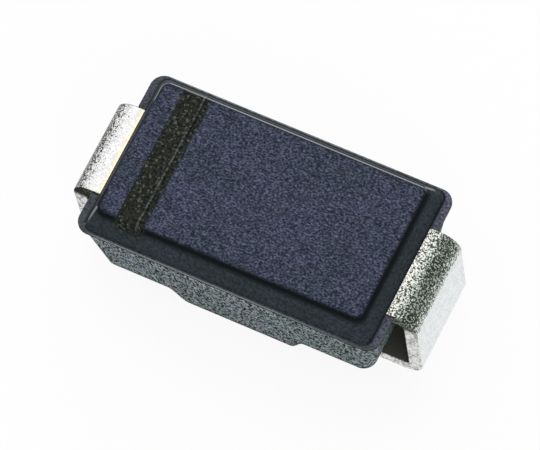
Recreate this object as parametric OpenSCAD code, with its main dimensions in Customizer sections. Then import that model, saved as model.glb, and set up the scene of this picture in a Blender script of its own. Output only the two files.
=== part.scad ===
// Surface-mount zener diode in a small moulded case with two bent-under leads.
// Millimetres, +Z up; the origin is the middle of the footprint, on the board.
// The cathode end, marked by the band, is at -X.

/* [Case] */
// length of the case over the parting rim
body_length = 4.46; // [4.2:0.02:4.6]
// width of the case over the parting rim
body_width = 2.5; // [2.3:0.02:2.9]
// height of the case top above the board
body_height = 2.06; // [1.98:0.01:2.4]
// height of the parting plane, level with the upper faces of the leads
parting_height = 1.68; // [1.56:0.01:1.76]
// height of the thin rim just under the parting plane
rim_band = 0.05; // [0.02:0.01:0.1]
// how far the rim stands out past the lower walls
rim_overhang = 0.04; // [0.02:0.01:0.08]
// corner radius of the rim, seen from above
rim_radius = 0.2; // [0.12:0.01:0.3]
// flat ledge left at each end by the larger lower mould half
end_ledge = 0.12; // [0.06:0.01:0.18]
// flat ledge left along each side
side_ledge = 0.04; // [0.02:0.01:0.08]
// how far the upper end walls lean in between the ledge and the top
upper_end_inset = 0.15; // [0.08:0.01:0.2]
// how far the upper side walls lean in between the ledge and the top
upper_side_inset = 0.17; // [0.08:0.01:0.2]
// corner radius of the upper half, seen from above
upper_radius = 0.12; // [0.1:0.01:0.18]
// rounding of the edge round the top face
top_round = 0.09; // [0.04:0.01:0.12]
// how far the bottom of the lower side walls lies inside the rim
lower_side_inset = 0.17; // [0.1:0.01:0.26]
// how far the bottom of the lower end walls lies inside the rim
lower_end_inset = 0.28; // [0.2:0.01:0.4]
// corner radius of the lower walls, seen from above
lower_radius = 0.19; // [0.14:0.01:0.3]

/* [Underside] */
// gap between the middle foot of the case and the board
standoff = 0.16; // [0.05:0.01:0.2]
// height of the two hollows that clear the solder feet
hollow_height = 0.51; // [0.4:0.01:0.56]
// length of the middle foot at its lowest face
pad_length = 1.52; // [1.2:0.02:1.7]
// length of the curved slope at each end of the middle foot
pad_ramp = 0.26; // [0.15:0.01:0.32]

/* [Cathode band] */
// distance of the band from the cathode edge of the top face
band_offset = 0.31; // [0.2:0.01:0.4]
// width of the main lane of the band
band_main = 0.29; // [0.2:0.01:0.36]
// width of the fine line left standing inside the band
band_line = 0.03; // [0.02:0.01:0.05]
// width of the second, narrow lane of the band
band_thin = 0.09; // [0.05:0.01:0.14]
// depth of both lanes
band_depth = 0.02; // [0.01:0.005:0.03]

/* [Leads] */
// length of the part over the outer bends of the leads
overall_length = 5.1; // [4.96:0.02:5.36]
// width of the lead strip
lead_width = 1.36; // [1.25:0.01:1.6]
// thickness of the lead strip
lead_thickness = 0.2; // [0.16:0.01:0.24]
// inner radius of the bend beside the case
shoulder_radius = 0.11; // [0.08:0.01:0.18]
// inner radius of the bend at the board
heel_radius = 0.07; // [0.05:0.01:0.12]
// angle by which each leg leans in under the case
leg_lean = 0.5; // [0:0.5:5]
// flat length of each solder foot
foot_length = 0.95; // [0.7:0.01:1.05]
// diameter of the hole that locks each lead into the moulding
lock_hole = 0.4; // [0.3:0.02:0.46]
// distance of the lock hole from the start of the outer bend
lock_hole_inset = 0.5; // [0.46:0.01:0.54]

/* [Chip] */
// side of the square zener chip
chip_side = 1.2; // [1.0:0.02:1.3]
// thickness of the chip
chip_thickness = 0.24; // [0.2:0.01:0.28]
// width of the sloped border round the upper face of the chip
chip_bevel = 0.08; // [0.04:0.01:0.12]
// depth of the sloped border
chip_bevel_depth = 0.1; // [0.06:0.01:0.14]
// thickness of each solder layer
solder_thickness = 0.05; // [0.03:0.01:0.07]
// how far the lower solder runs out round the chip
solder_margin = 0.04; // [0.02:0.01:0.06]
// diameter of the upper solder spot
spot_diameter = 0.9; // [0.7:0.02:0.94]
// how far the inner end of each lead reaches past the chip
lead_overreach = 0.08; // [0.06:0.01:0.12]
// width of the anode contact tongue over the chip
tongue_width = 1.04; // [0.96:0.02:1.2]

/* [Hidden] */
$fn = 64;

// outer bends of a lead and the leg between them
shoulder_outer = shoulder_radius + lead_thickness;
heel_outer = heel_radius + lead_thickness;
bend_start = overall_length / 2 - shoulder_outer;
leg_drop = parting_height - shoulder_outer - heel_outer;
leg_run = (leg_drop - (shoulder_outer - heel_outer) * sin(leg_lean)) / cos(leg_lean);

// the stack inside the case, from the anode lead down to the cathode paddle
strip_z = parting_height - lead_thickness;
spot_z = strip_z - solder_thickness;
chip_z = spot_z - chip_thickness;
solder_z = chip_z - solder_thickness;
paddle_z = solder_z - lead_thickness;
inner_reach = chip_side / 2 + lead_overreach;

// step down from the cathode strip to its paddle
step_angle = 45;
step_radius = 0.12;
step_bends = 2 * step_radius + lead_thickness;
step_slant = (strip_z - paddle_z - step_bends * (1 - cos(step_angle))) / sin(step_angle);
step_length = step_bends * sin(step_angle) + step_slant * cos(step_angle);

// top face of the case, and the slope of the walls that lead up to it
upper_foot_length = body_length - 2 * end_ledge;
upper_foot_width = body_width - 2 * side_ledge;
top_length = upper_foot_length - 2 * upper_end_inset;
top_width = upper_foot_width - 2 * upper_side_inset;
end_angle = atan(upper_end_inset / (body_height - parting_height));
side_angle = atan(upper_side_inset / (body_height - parting_height));
end_setback = top_round * tan(45 - end_angle / 2);
side_setback = top_round * tan(45 - side_angle / 2);

round_steps = 5;
slope_steps = 10;
post_faces = 32;
lap = 0.02;

// four upright posts at the corners of a rounded outline, to be joined by a hull
module corner_posts(length, width, radius, z, height) {
    for (x = [-1, 1])
        for (y = [-1, 1])
            translate([x * (length / 2 - radius), y * (width / 2 - radius), z])
                cylinder(r = radius, h = height, $fn = post_faces);
}

// lower half of the case: a thin rim that stands out, then walls that lean in to the middle foot
module lower_half() {
    rim_z = parting_height - rim_band;
    hull()
        corner_posts(body_length, body_width, rim_radius, rim_z, rim_band);
    hull() {
        corner_posts(
            body_length - 2 * rim_overhang,
            body_width - 2 * rim_overhang,
            lower_radius,
            rim_z,
            lap
        );
        corner_posts(
            body_length - 2 * lower_end_inset,
            body_width - 2 * lower_side_inset,
            lower_radius,
            standoff,
            lap
        );
    }
}

// upper half of the case: sloped walls and a rounded edge round the flat top
module upper_half() {
    hull() {
        corner_posts(upper_foot_length, upper_foot_width, upper_radius, parting_height - lap, lap);
        for (i = [0:round_steps]) {
            start = min(end_angle, side_angle);
            angle = start + (90 - start) * i / round_steps;
            end_inset = end_setback - top_round * cos(angle);
            side_inset = side_setback - top_round * cos(angle);
            rise = body_height - top_round + top_round * sin(angle);
            corner_posts(
                top_length - 2 * end_inset,
                top_width - 2 * side_inset,
                upper_radius - side_inset,
                rise - lap,
                lap
            );
        }
    }
}

// side view of the hollow over one solder foot, with the curved end of the middle foot
module hollow_side() {
    depth = hollow_height - standoff;
    slope = [
        for (i = [0:slope_steps])
            [
                pad_length / 2 + pad_ramp * i / slope_steps,
                standoff + depth * (1 - cos(180 * i / slope_steps)) / 2
            ]
    ];
    polygon(concat(
        [[pad_length / 2, -lap], [overall_length, -lap], [overall_length, hollow_height]],
        [for (i = [slope_steps:-1:0]) slope[i]]
    ));
}

// both hollows across the underside
module foot_hollows() {
    for (end = [0, 1])
        mirror([end, 0, 0])
            rotate([90, 0, 0])
                linear_extrude(height = 2 * body_width, center = true)
                    hollow_side();
}

// one lane of the band, cut across the whole top
module band_lane(start, width) {
    translate([start - top_length / 2, -body_width, body_height - band_depth])
        cube([width, 2 * body_width, 2 * band_depth]);
}

// both lanes of the cathode band
module cathode_band() {
    band_lane(band_offset, band_main);
    band_lane(band_offset + band_main + band_line, band_thin);
}

// one bend of the strip, from the end of a straight run down through the given angle
module bend(radius, angle) {
    reach = 2 * (radius + lead_thickness);
    intersection() {
        difference() {
            circle(radius + lead_thickness);
            circle(radius);
        }
        polygon([
            [0, 0],
            [0, reach],
            [reach * sin(angle / 2), reach * cos(angle / 2)],
            [reach * sin(angle), reach * cos(angle)]
        ]);
    }
}

// side view of a folded strip: each step is [straight run, turn, inner radius], and a turn below 0 goes down
module folded_strip(steps, at = 0) {
    if (at < len(steps)) {
        run = steps[at][0];
        turn = steps[at][1];
        radius = steps[at][2];
        square([run, lead_thickness]);
        if (turn < 0) {
            translate([run, -radius])
                bend(radius, -turn);
            translate([run, -radius])
                rotate(turn)
                    translate([0, radius])
                        folded_strip(steps, at + 1);
        }
        if (turn > 0) {
            translate([run, lead_thickness + radius])
                mirror([0, 1])
                    bend(radius, turn);
            translate([run, lead_thickness + radius])
                rotate(turn)
                    translate([0, -lead_thickness - radius])
                        folded_strip(steps, at + 1);
        }
    }
}

// the shoulder, leg and foot that both leads share, after their straight run out of the case
function outer_steps(run) = [
    [run, -90 - leg_lean, shoulder_radius],
    [leg_run, -90 + leg_lean, heel_radius],
    [foot_length, 0, 0]
];

// gives a side view the width of the strip
module strip_solid() {
    rotate([90, 0, 0])
        linear_extrude(height = lead_width, center = true)
            children();
}

// hole through a lead, which the moulding fills
module lock_hole_cut() {
    translate([bend_start - lock_hole_inset, 0, strip_z - lap])
        cylinder(d = lock_hole, h = lead_thickness + 2 * lap);
}

// narrows the inner end of the anode strip to its contact tongue
module tongue_cut() {
    for (side = [0, 1])
        mirror([0, side, 0])
            translate([-inner_reach - lap, tongue_width / 2, strip_z - lap])
                cube([2 * inner_reach + lap, lead_width, lead_thickness + 2 * lap]);
}

module anode_form() {
    difference() {
        strip_solid()
            translate([-inner_reach, strip_z])
                folded_strip(outer_steps(bend_start + inner_reach));
        lock_hole_cut();
        tongue_cut();
    }
}

module cathode_form() {
    paddle_steps = [
        [2 * inner_reach, step_angle, step_radius],
        [step_slant, -step_angle, step_radius]
    ];
    mirror([1, 0, 0])
        difference() {
            strip_solid()
                translate([-inner_reach, paddle_z])
                    folded_strip(concat(paddle_steps, outer_steps(bend_start - inner_reach - step_length)));
            lock_hole_cut();
        }
}

// section of the chip, with its sloped upper border
module chip_section() {
    half = chip_side / 2;
    polygon([
        [-half, 0],
        [half, 0],
        [half, chip_thickness - chip_bevel_depth],
        [half - chip_bevel, chip_thickness],
        [chip_bevel - half, chip_thickness],
        [-half, chip_thickness - chip_bevel_depth]
    ]);
}

// the section drawn across one way
module chip_prism() {
    rotate([90, 0, 0])
        linear_extrude(height = chip_side + lap, center = true)
            chip_section();
}

module chip_form() {
    translate([0, 0, chip_z])
        intersection() {
            chip_prism();
            rotate([0, 0, 90])
                chip_prism();
        }
}

module chip_solder_form() {
    side = chip_side + 2 * solder_margin;
    translate([-side / 2, -side / 2, solder_z])
        cube([side, side, solder_thickness]);
}

module contact_solder_form() {
    translate([0, 0, spot_z])
        cylinder(d = spot_diameter, h = solder_thickness);
}

// moulded case, with its inside shaped by the leads, the chip and the solder
module case() {
    color([0.2, 0.21, 0.25])
        difference() {
            union() {
                difference() {
                    lower_half();
                    foot_hollows();
                }
                upper_half();
            }
            cathode_band();
            cathode_form();
            anode_form();
            chip_form();
            chip_solder_form();
            contact_solder_form();
        }
}

// lead with the chip paddle, at the banded end
module cathode_lead() {
    color([0.82, 0.82, 0.79])
        cathode_form();
}

// lead with the contact tongue, at the plain end
module anode_lead() {
    color([0.82, 0.82, 0.79])
        anode_form();
}

// silicon chip with the zener junction
module zener_chip() {
    color([0.36, 0.37, 0.42])
        chip_form();
}

// solder between the chip and the cathode paddle
module chip_solder() {
    color([0.6, 0.61, 0.62])
        chip_solder_form();
}

// solder between the chip and the anode tongue
module contact_solder() {
    color([0.6, 0.61, 0.62])
        contact_solder_form();
}

case();
cathode_lead();
anode_lead();
zener_chip();
chip_solder();
contact_solder();
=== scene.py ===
"""Looks of a surface-mount zener diode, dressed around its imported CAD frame.

The moulded case and the two folded leads are numpy surfaces that follow the CAD solids closely and
stand for them. The chip and its two solder layers, sealed in the case, keep their CAD meshes. Every
finish is procedural and reads Object coordinates or an attribute of the piece.
"""

import logging
import math
from collections.abc import Iterable
from dataclasses import dataclass, field
from enum import Enum

import bpy
import numpy as np
from mathutils import Matrix, Vector


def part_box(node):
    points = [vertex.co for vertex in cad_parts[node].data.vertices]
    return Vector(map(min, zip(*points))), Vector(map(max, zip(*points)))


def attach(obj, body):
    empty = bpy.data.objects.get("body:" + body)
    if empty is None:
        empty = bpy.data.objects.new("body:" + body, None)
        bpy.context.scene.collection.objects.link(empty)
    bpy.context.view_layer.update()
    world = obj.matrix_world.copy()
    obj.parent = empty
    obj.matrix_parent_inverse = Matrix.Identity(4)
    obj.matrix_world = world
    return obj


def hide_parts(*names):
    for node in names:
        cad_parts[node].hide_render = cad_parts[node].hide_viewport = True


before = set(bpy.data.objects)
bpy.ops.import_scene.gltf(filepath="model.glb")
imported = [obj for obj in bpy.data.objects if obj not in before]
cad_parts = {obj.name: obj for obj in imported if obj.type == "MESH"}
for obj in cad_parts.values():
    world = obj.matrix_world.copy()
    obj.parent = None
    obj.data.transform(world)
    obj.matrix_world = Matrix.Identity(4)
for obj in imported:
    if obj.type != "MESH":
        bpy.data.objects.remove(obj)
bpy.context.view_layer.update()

LOG = logging.getLogger("zener_diode")

MM = 0.001
BODY = "root"
SHARP_ANGLE = 38.0
MERGE_DISTANCE = 1e-5 * MM
QUARTER = math.pi / 2
NOISE_MEAN = 0.5

# numbers of the colour sockets of a Mix node
MIX_FIRST = 6
MIX_SECOND = 7
MIX_RESULT = 2

# attributes that the meshes carry for their finishes
# painted shade: darker where shade falls, at edges, in creases and under the rim
PAINTED_SHADE = "painted_shade"
# painted highlight: light lines, with a clear coat, on edges of the upper half
GLEAM = "gleam"
# painted lightening: a painted highlight along the rim, and the lower wall lighter towards the rim
LIGHTENING = "lightening"
# strain mottling of the bent tin, with a painted dark reflection on the shoulder
STRAIN_AND_SHADE = "strain_and_shade"
# the side of a lead that faces the case, painted in shade
INNER = "inner"

Array = np.ndarray
Span = tuple[float, float]
Triple = tuple[float, float, float]
Colour = Triple
Socket = bpy.types.NodeSocket
Feed = Socket | float | tuple[float, ...]
Wires = dict[str | int, Feed]


# Surfaces


@dataclass
class Patch:
    """A grid of points that becomes one sheet of quads.

    Attributes:
        points: grid of points, rows by columns by 3, in metres.
        closed: whether the last column joins the first one again.
        zone: one whole number for each quad, which picks its finish.
        flip: whether the quads are turned over, so that they face outwards.
        values: attributes, each with one value for each point.
    """

    points: Array
    closed: bool
    zone: Array
    flip: bool = False
    values: dict[str, Array] = field(default_factory=dict)

    def quads(self) -> Array:
        """Numbers the four corners of every cell of the grid, row by row."""
        rows, columns = self.points.shape[:2]
        across = columns if self.closed else columns - 1
        row, column = np.meshgrid(np.arange(rows - 1), np.arange(across), indexing="ij")
        onward = (column + 1) % columns
        corners = [
            row * columns + column,
            row * columns + onward,
            (row + 1) * columns + onward,
            (row + 1) * columns + column,
        ]
        cells = np.stack(corners, axis=-1).reshape(-1, 4)
        return cells[:, ::-1] if self.flip else cells


def cap_patch(points: Array, zone: int, flip: bool, titles: Iterable[str]) -> Patch:
    """Makes the sheet that closes one end of a wall, with one finish and every attribute at 0.

    Args:
        points: grid of points.
        zone: number of the finish.
        flip: whether the quads are turned over.
        titles: names of the attributes.

    Returns:
        The sheet.
    """
    none = np.zeros(points.shape[:2])
    return Patch(points, False, np.full_like(none[1:, 1:], zone), flip, dict.fromkeys(titles, none))


class RingLayout:
    """Numbering shared by all the rounded outlines of a piece, so that they join into closed walls.

    A point of an outline is (share of the corner centre) * (half size - radius) + (outward way) *
    radius. Shares and ways are kept here, and the sizes come with each call. The outline runs along
    the front, up the right end, back along the rear and down the left end.
    """

    def __init__(self, long_shares: Array, short_shares: Array, corner_steps: int) -> None:
        """Lays out the points.

        Args:
            long_shares: places along the straight front, from -1 to 1 with both left out.
            short_shares: places along the straight end, from -1 to 1 with both left out.
            corner_steps: steps round each corner.
        """
        turn = np.linspace(0.0, QUARTER, corner_steps + 1)
        one, none = np.ones_like(turn), np.zeros_like(long_shares)
        mirror = np.array([[-1.0], [1.0], [-1.0], [1.0]])
        left = np.stack([-one, -one, -np.cos(turn), -np.sin(turn)])
        middle = np.stack([long_shares, none - 1, none, none - 1])
        front = np.concatenate([left, middle, left[:, ::-1] * mirror], axis=1)
        none = np.zeros_like(short_shares)
        end = np.stack([none + 1, short_shares, none + 1, none])
        rear, other_end = front[:, ::-1] * -mirror, end[:, ::-1] * mirror
        whole = np.concatenate([front, end, rear, other_end], axis=1)
        self.share, self.way = whole[:2], whole[2:]
        self.count = whole.shape[1]
        self.front_count = front.shape[1]
        self.across = np.concatenate([[-1.0], short_shares, [1.0]])

    def ring(
        self, half_long: float | Array, half_short: float | Array, radius: float | Array
    ) -> tuple[Array, Array]:
        """Places the points of one outline, or of many at once where the sizes are arrays.

        Args:
            half_long: half length.
            half_short: half width.
            radius: corner radius.

        Returns:
            The two coordinates of every point.
        """
        u = self.share[0] * (half_long - radius) + self.way[0] * radius
        v = self.share[1] * (half_short - radius) + self.way[1] * radius
        return u, v

    def cap(self, u: Array, v: Array) -> tuple[Array, Array]:
        """Fills an outline with a grid: along it the front points, across it shares of their width.

        Args:
            u: first coordinate of the outline's points.
            v: second coordinate of the outline's points.

        Returns:
            The two coordinates of the grid, front points by shares.
        """
        front_u, front_v = u[: self.front_count, None], v[: self.front_count, None]
        return front_u + 0.0 * self.across, -front_v * self.across


def smoothstep(low: float, high: float, value: Array) -> Array:
    """Rises from 0 at low to 1 at high as 3t^2 - 2t^3."""
    share = np.clip((value - low) / (high - low), 0.0, 1.0)
    return share * share * (3.0 - 2.0 * share)


def spaced(low: float, high: float, pitch: float) -> Array:
    """Gives even places from low to high, at most pitch apart."""
    return np.linspace(low, high, max(2, math.ceil((high - low) / pitch) + 1))


def add_object(name: str, data: bpy.types.ID) -> bpy.types.Object:
    """Makes an object that shows the data, and links it to the scene."""
    made = bpy.data.objects.new(name, data)
    bpy.context.scene.collection.objects.link(made)
    return made


def add_piece(
    name: str, patches: list[Patch], finishes: list[bpy.types.Material]
) -> bpy.types.Object:
    """Joins patches into one closed mesh, merging the points that they share.

    Args:
        name: name of the piece.
        patches: sheets that meet point to point along their borders.
        finishes: materials, in the order of the zone numbers.

    Returns:
        The new object, at the origin, with its place in its mesh.
    """
    points = np.concatenate([patch.points.reshape(-1, 3) for patch in patches])
    sizes = [patch.points.shape[0] * patch.points.shape[1] for patch in patches]
    starts = np.cumsum([0] + sizes[:-1])
    cells = np.concatenate([patch.quads() + start for patch, start in zip(patches, starts)])
    zones = np.concatenate([patch.zone.reshape(-1) for patch in patches])
    keys = np.round(points / MERGE_DISTANCE).astype(np.int64)
    _, first, where = np.unique(keys, axis=0, return_index=True, return_inverse=True)
    cells = where.reshape(-1)[cells]

    mesh = bpy.data.meshes.new(name)
    mesh.from_pydata(points[first].tolist(), [], cells.tolist())
    for finish in finishes:
        mesh.materials.append(finish)
    mesh.polygons.foreach_set("material_index", zones.astype(np.int32))
    for title in patches[0].values:
        value = np.concatenate([patch.values[title].reshape(-1) for patch in patches])[first]
        layer = mesh.attributes.new(title, "FLOAT", "POINT")
        layer.data.foreach_set("value", value.astype(np.float32))
    mesh.shade_smooth()
    mesh.set_sharp_from_angle(angle=math.radians(SHARP_ANGLE))
    mesh.update()
    return add_object(name, mesh)


# Node helpers


def empty_tree(owner: bpy.types.Material | bpy.types.World) -> bpy.types.NodeTree:
    """Switches a material or a world to nodes, clears them and gives their tree."""
    owner.use_nodes = True
    owner.node_tree.nodes.clear()
    return owner.node_tree


def rgba(colour: Feed) -> Feed:
    """Adds a full alpha to a plain colour, and leaves a socket as it is."""
    return colour if isinstance(colour, Socket) else (*colour, 1.0)


class Graph:
    """Adds and joins the nodes of one node tree."""

    def __init__(self, tree: bpy.types.NodeTree) -> None:
        """Keeps the tree that the nodes go into."""
        self.tree = tree

    def node(self, kind: str, inputs: Wires, **settings: object) -> bpy.types.Node:
        """Adds a node.

        Args:
            kind: Blender's name for the kind of node.
            inputs: for each input, by name or number, a socket to link or a value to set.
            **settings: properties of the node.

        Returns:
            The node.
        """
        made = self.tree.nodes.new(kind)
        for key, value in settings.items():
            setattr(made, key, value)
        for key, value in inputs.items():
            if isinstance(value, Socket):
                self.tree.links.new(value, made.inputs[key])
            else:
                made.inputs[key].default_value = value
        return made

    def math(self, operation: str, first: Feed, second: Feed = 0.0) -> Socket:
        """Adds a Math node and gives its result."""
        return self.node("ShaderNodeMath", {0: first, 1: second}, operation=operation).outputs[0]

    def add(self, first: Feed, second: Feed) -> Socket:
        """Adds two values."""
        return self.math("ADD", first, second)

    def minus(self, first: Feed, second: Feed) -> Socket:
        """Takes the second value from the first."""
        return self.math("SUBTRACT", first, second)

    def times(self, first: Feed, second: Feed) -> Socket:
        """Multiplies two values."""
        return self.math("MULTIPLY", first, second)

    def clamp(self, value: Feed) -> Socket:
        """Holds a value between 0 and 1."""
        return self.node("ShaderNodeClamp", {"Value": value}).outputs[0]

    def ramp(
        self, value: Feed, low: float, high: float, to_low: Feed = 0.0, to_high: Feed = 1.0
    ) -> Socket:
        """Maps value from low..high to to_low..to_high on a smooth step.

        Args:
            value: what is mapped.
            low: value that gives to_low.
            high: value that gives to_high.
            to_low: result at low.
            to_high: result at high.

        Returns:
            The socket with the result.
        """
        inputs = {
            "Value": value,
            "From Min": low,
            "From Max": high,
            "To Min": to_low,
            "To Max": to_high,
        }
        made = self.node("ShaderNodeMapRange", inputs, interpolation_type="SMOOTHSTEP")
        return made.outputs["Result"]

    def between(self, value: Feed, low: float, high: float, soft: Span) -> Socket:
        """Gives 1 where value lies between low and high and 0 elsewhere.

        Args:
            value: what is tested.
            low: lower border.
            high: upper border.
            soft: half width of the change at the lower and at the upper border.

        Returns:
            The socket with the result.
        """
        rise = self.ramp(value, low - soft[0], low + soft[0])
        return self.minus(rise, self.ramp(value, high - soft[1], high + soft[1]))

    def mix(self, share: Feed, first: Feed, second: Feed, blend: str = "MIX") -> Socket:
        """Mixes two colours.

        Args:
            share: how much of the second colour.
            first: first colour.
            second: second colour.
            blend: Blender's name for the way of mixing.

        Returns:
            The socket with the mixed colour.
        """
        inputs = {0: share, MIX_FIRST: rgba(first), MIX_SECOND: rgba(second)}
        made = self.node("ShaderNodeMix", inputs, data_type="RGBA", blend_type=blend)
        return made.outputs[MIX_RESULT]

    def noise(self, place: Feed, scale: Feed, detail: float, twist: float = 0.0) -> Socket:
        """Adds fractal noise.

        Args:
            place: coordinates.
            scale: features to the metre.
            detail: number of finer layers.
            twist: how far the noise bends its own coordinates.

        Returns:
            The socket with the noise, about NOISE_MEAN on average.
        """
        inputs = {"Vector": place, "Scale": scale, "Detail": detail, "Distortion": twist}
        return self.node("ShaderNodeTexNoise", inputs).outputs["Fac"]


class MaterialGraph(Graph):
    """The nodes of a new material, from its coordinates to its shader."""

    def __init__(self, name: str, grain: bpy.types.NodeTree) -> None:
        """Makes the material, empty but for its Object coordinates.

        Args:
            name: name of the material.
            grain: the shared grain effect.
        """
        self.material = bpy.data.materials.new(name)
        super().__init__(empty_tree(self.material))
        self.grain = grain
        self.place = self.node("ShaderNodeTexCoord", {}).outputs["Object"]

    def axes(self) -> tuple[Socket, Socket, Socket]:
        """Splits the place into its three coordinates."""
        return tuple(self.node("ShaderNodeSeparateXYZ", {0: self.place}).outputs)

    def attribute(self, name: str) -> Socket:
        """Reads an attribute of the mesh."""
        return self.node("ShaderNodeAttribute", {}, attribute_name=name).outputs["Fac"]

    def fine(
        self, scale: float, contrast: float, amount: Feed = 0.0, drawn: Triple = (1.0, 1.0, 1.0)
    ) -> bpy.types.NodeOutputs:
        """Places the shared grain effect on the surface.

        Args:
            scale: grains to the metre.
            contrast: spread of the grain.
            amount: share of the noise range that shows as flecks.
            drawn: share of the scale along each axis, below 1 where the grain is drawn out.

        Returns:
            The outputs Grain, Flecks and Clouds.
        """
        place = self.node("ShaderNodeMapping", {"Vector": self.place, "Scale": drawn}).outputs[0]
        inputs = {"Vector": place, "Scale": scale, "Contrast": contrast, "Amount": amount}
        return self.node("ShaderNodeGroup", inputs, node_tree=self.grain).outputs

    def bump(self, height: Socket, depth: float) -> Socket:
        """Turns a height from 0 to 1 into a normal, for a relief of the given depth in metres."""
        inputs = {"Strength": 1.0, "Distance": depth, "Height": height}
        return self.node("ShaderNodeBump", inputs).outputs[0]

    def shade(self, inputs: Wires) -> bpy.types.Material:
        """Adds the Principled shader with its inputs, and gives the finished material."""
        shader = self.node("ShaderNodeBsdfPrincipled", inputs)
        self.node("ShaderNodeOutputMaterial", {"Surface": shader.outputs[0]})
        return self.material


class GroupGraph(Graph):
    """The nodes of a new node group, with its named inputs and outputs."""

    def __init__(self, name: str, inputs: dict[str, str], outputs: tuple[str, ...]) -> None:
        """Makes the group.

        Args:
            name: name of the effect.
            inputs: for each input its kind of socket.
            outputs: names of the outputs, which are all numbers.
        """
        super().__init__(bpy.data.node_groups.new(name, "ShaderNodeTree"))
        for title, kind in inputs.items():
            self.tree.interface.new_socket(title, in_out="INPUT", socket_type=kind)
        for title in outputs:
            self.tree.interface.new_socket(title, in_out="OUTPUT", socket_type="NodeSocketFloat")
        self.given = self.node("NodeGroupInput", {}).outputs

    def put(self, results: Wires) -> None:
        """Joins the results to the outputs."""
        self.node("NodeGroupOutput", results)


# Finishes


@dataclass(frozen=True)
class FineGrain:
    """The fine grain of a spark-eroded or plated surface, as one shared node group.

    Grain is twisted noise, spread about its middle by Contrast and held between 0 and 1. Flecks are
    the peaks of a second noise above one minus Amount. Clouds is a broad unevenness about 1.

    Attributes:
        twist: how far grain and flecks bend their own coordinates.
        grain_detail: number of finer layers in the grain.
        fleck_scale: scale of the flecks, as a share of the grain's.
        fleck_detail: number of finer layers in the flecks.
        fleck_slope: how steeply a fleck rises.
        cloud_scale: scale of the clouds, as a share of the grain's.
        cloud_detail: number of finer layers in the clouds.
        cloud_noise: noise that gives the darkest and the lightest cloud.
        cloud_range: darkest and lightest cloud.
    """

    twist: float = 0.35
    grain_detail: float = 0.2
    fleck_scale: float = 0.95
    fleck_detail: float = 1.0
    fleck_slope: float = 9.0
    cloud_scale: float = 0.06
    cloud_detail: float = 3.0
    cloud_noise: Span = (0.3, 0.7)
    cloud_range: Span = (0.88, 1.12)

    def build(self) -> bpy.types.NodeTree:
        """Builds the group.

        Returns:
            The node group, with the inputs Vector, Scale, Contrast and Amount.
        """
        value = "NodeSocketFloat"
        inputs = {"Vector": "NodeSocketVector", "Scale": value, "Contrast": value, "Amount": value}
        graph = GroupGraph("fine_grain", inputs, ("Grain", "Flecks", "Clouds"))
        place, scale, contrast, amount = (graph.given[title] for title in inputs)
        worms = graph.noise(place, scale, self.grain_detail, self.twist)
        spread = graph.times(graph.minus(worms, NOISE_MEAN), contrast)
        dots = graph.noise(
            place, graph.times(scale, self.fleck_scale), self.fleck_detail, self.twist
        )
        above = graph.minus(dots, graph.minus(1.0, amount))
        broad = graph.noise(place, graph.times(scale, self.cloud_scale), self.cloud_detail)
        graph.put({
            "Grain": graph.clamp(graph.add(spread, NOISE_MEAN)),
            "Flecks": graph.clamp(graph.times(above, self.fleck_slope)),
            "Clouds": graph.ramp(broad, *self.cloud_noise, *self.cloud_range),
        })
        return graph.tree


@dataclass(frozen=True)
class BandMark:
    """The roughened lanes of the cathode band and the fine line left between them.

    Attributes:
        lanes: low and high x of the two lanes, in metres.
        top: height of the top face, in metres.
        dark: colour in the pits of the lanes.
        light: colour on their peaks.
        fleck: colour of their bright grains.
        fleck_amount: share of the noise range that shows as bright grains.
        grain: grains to the metre.
        contrast: spread of the grain.
        ragged: how far the borders of the lanes wander, in metres.
        ragged_detail: number of finer layers in the wandering.
        soft: half width of the change at the first and at the last border, in metres.
        fade: depths below the top at which the lanes start to fade and have gone, in metres.
        line: colour of the fine line.
        line_soft: half width of the change at its two sides, in metres.
        line_noise: noise, less its mean, at which the line is faintest and at which it is full.
        line_least: how much of the line shows where it is faintest.
    """

    lanes: tuple[Span, Span]
    top: float
    dark: Colour = (0.002, 0.004, 0.002)
    light: Colour = (0.02, 0.024, 0.017)
    fleck: Colour = (0.096, 0.104, 0.086)
    fleck_amount: float = 0.405
    grain: float = 27000.0
    contrast: float = 3.2
    ragged: float = 0.13 * MM
    ragged_detail: float = 3.0
    soft: Span = (0.018 * MM, 0.04 * MM)
    fade: Span = (0.07 * MM, 0.25 * MM)
    line: Colour = (0.09, 0.1, 0.095)
    line_soft: Span = (0.008 * MM, 0.008 * MM)
    line_noise: Span = (-0.06, 0.12)
    line_least: float = 0.15

    def over(self, graph: MaterialGraph, plain: Socket) -> Socket:
        """Lays the band over a plain colour.

        Args:
            graph: nodes of the material.
            plain: colour beside the band.

        Returns:
            The socket with the colour.
        """
        fine = graph.fine(self.grain, self.contrast, self.fleck_amount)
        lane = graph.mix(fine["Grain"], self.dark, self.light)
        lane = graph.mix(fine["Flecks"], lane, self.fleck)
        along, _, height = graph.axes()
        noise = graph.noise(graph.place, self.grain, self.ragged_detail)
        wander = graph.minus(noise, NOISE_MEAN)
        shift = graph.times(wander, self.ragged)
        (low, line_start), (line_end, high) = self.lanes
        fade_start, fade_end = (self.top - depth for depth in self.fade)
        shown = graph.ramp(graph.add(height, shift), fade_end, fade_start)
        band = graph.between(graph.add(along, shift), low, high, self.soft)
        colour = graph.mix(graph.times(band, shown), plain, lane)
        line = graph.between(along, line_start, line_end, self.line_soft)
        line = graph.times(line, graph.ramp(wander, *self.line_noise, self.line_least))
        upper = graph.ramp(height, fade_start, fade_start + self.soft[0])
        return graph.mix(graph.times(line, upper), colour, self.line)


@dataclass(frozen=True, kw_only=True)
class GrainyFinish:
    """What every finish has: a fine grain, dark in its pits and light on its peaks.

    Attributes:
        name: name of the material.
        dark: colour in the pits of the grain.
        light: colour on its peaks.
        grain: grains to the metre.
        contrast: spread of the grain.
        depth: height of the grain, in metres.
        rough: roughness in the pits and on the peaks.
    """

    name: str
    dark: Colour
    light: Colour
    grain: float
    contrast: float
    depth: float
    rough: Span


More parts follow.
